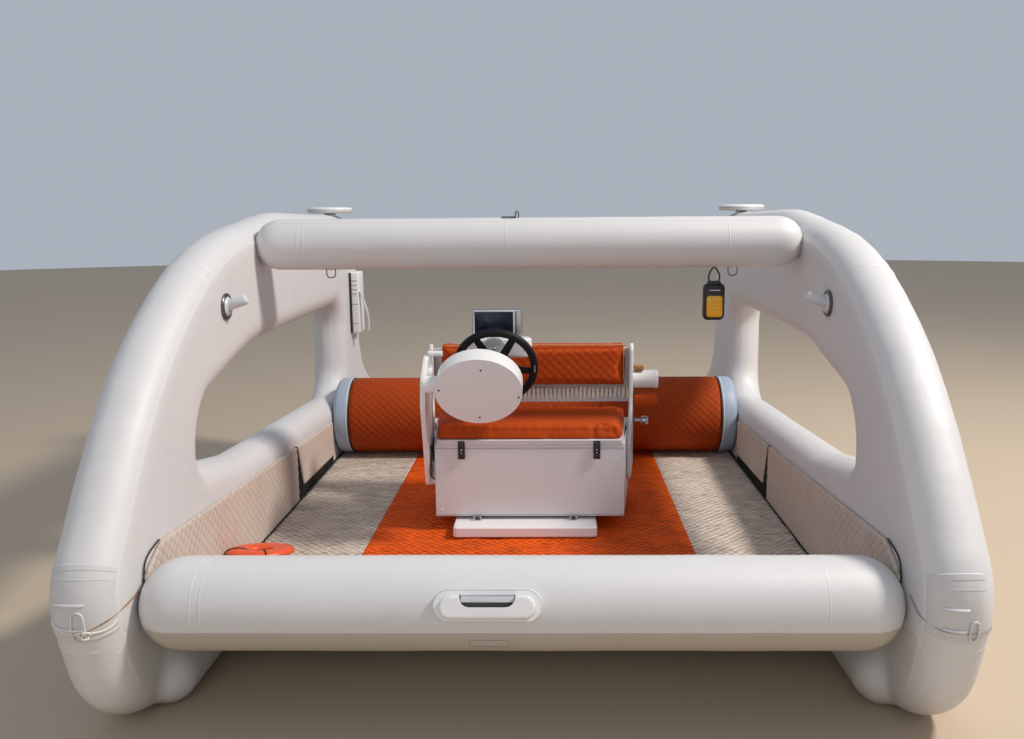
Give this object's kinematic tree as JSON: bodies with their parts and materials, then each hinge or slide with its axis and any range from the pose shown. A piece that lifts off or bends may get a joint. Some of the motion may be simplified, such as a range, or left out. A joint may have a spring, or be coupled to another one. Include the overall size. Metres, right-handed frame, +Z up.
{
  "type": "inflatable electric catamaran boat",
  "caption": "Inflatable electric catamaran boat: window-sided air frames, roof bar, quilted cockpit, helm seat with wheel and display, and an outboard drive tilted up at the stern.",
  "frame": {"origin": "middle of the hull bottoms at ground level, on the centre plane, midway between the bow and stern ends of the two hulls", "axes": "-Y towards the bow, +Y towards the stern, -X starboard, +X port, +Z up"},
  "size_m": [2.594, 3.7539, 1.5371],
  "materials": {
    "hull": "white coated air-board fabric with a soft sheen",
    "deck": "light grey coated drop-stitch fabric",
    "beige": "beige quilted cover and mat",
    "orange": "burnt orange upholstery cloth",
    "cap": "light grey coated fabric",
    "black": "black",
    "board": "off-white board",
    "steel": "satin",
    "rope": "natural rope",
    "plastic": "white moulding",
    "screen": "dark display glass",
    "grey": "grey",
    "lantern": "black lantern body",
    "float": "orange ring float"
  },
  "bodies": {
    "hull": {"side_frame_starboard": "hull", "side_frame_port": "hull", "bow_tube": "hull", "roof_bar": "hull", "stern_bolster": "orange", "mat_centre": "orange", "backrest_cushion": "orange", "side_pad": "orange", "bolster_cap_starboard": "cap", "bolster_cap_port": "cap", "deck": "deck", "mat_starboard": "beige", "mat_port": "beige", "wall_pad_fore_starboard": "beige", "wall_pad_fore_port": "beige", "wall_pad_aft_starboard": "beige", "wall_pad_aft_port": "beige", "wall_skirt_starboard": "black", "wall_skirt_port": "black", "floor_edging_starboard": "black", "floor_edging_port": "black", "transom": "board", "base_plate": "board", "seat_box": "board", "side_panel_starboard": "board", "side_panel_port": "board", "backrest_board": "board", "seat_rail_starboard": "steel", "seat_rail_port": "steel", "panel_knob": "steel", "display_case": "steel", "motor_bracket": "steel", "backrest_lacing": "rope", "battery": "grey", "arch_peg_starboard": "grey", "arch_peg_port": "grey", "stowage_tube": "plastic", "helm_drum": "plastic", "helm_arm": "plastic", "binnacle": "plastic", "throttle_lever": "plastic", "bow_handle": "plastic", "roof_disc_starboard": "plastic", "roof_disc_port": "plastic", "equipment_panel": "plastic", "display_screen": "screen", "float_ring": "float", "lantern": "lantern"},
    "lid": {"seat_lid": "board", "seat_cushion": "orange", "seat_latch_starboard": "black", "seat_latch_port": "black"},
    "wheel": {"steering_wheel": "black"},
    "motor_tilt": {"motor_swivel": "grey"},
    "motor_steer": {"motor_leg": "grey"},
    "propeller": {"propeller": "black"}
  },
  "joints": [
    {"name": "lid_hinge", "type": "hinge", "parent": "hull", "child": "lid", "pos_m": [0, -0.126, 0.556], "axis": [-1, 0, 0], "range_deg": [0, 60]},
    {"name": "steering_wheel_turn", "type": "hinge", "parent": "hull", "child": "wheel", "pos_m": [-0.128, -0.6, 0.891], "axis": [0, 0.9272, 0.3746], "range_deg": [-450, 450]},
    {"name": "motor_tilt", "type": "hinge", "parent": "hull", "child": "motor_tilt", "pos_m": [0, 1.262, 0.44], "axis": [1, 0, 0], "range_deg": [-72, 0]},
    {"name": "motor_steer", "type": "hinge", "parent": "motor_tilt", "child": "motor_steer", "pos_m": [0, 1.28363, 0.50657], "axis": [0, -0.9511, 0.309], "range_deg": [-45, 45]},
    {"name": "propeller_spin", "type": "hinge", "parent": "motor_steer", "child": "propeller", "pos_m": [0, 1.7435, 0.49805], "axis": [0, 0.309, 0.9511], "continuous": true}
  ],
  "couplings": [
    {"joint": "steering_wheel_turn", "follows": "motor_steer", "ratio": -10}
  ]
}
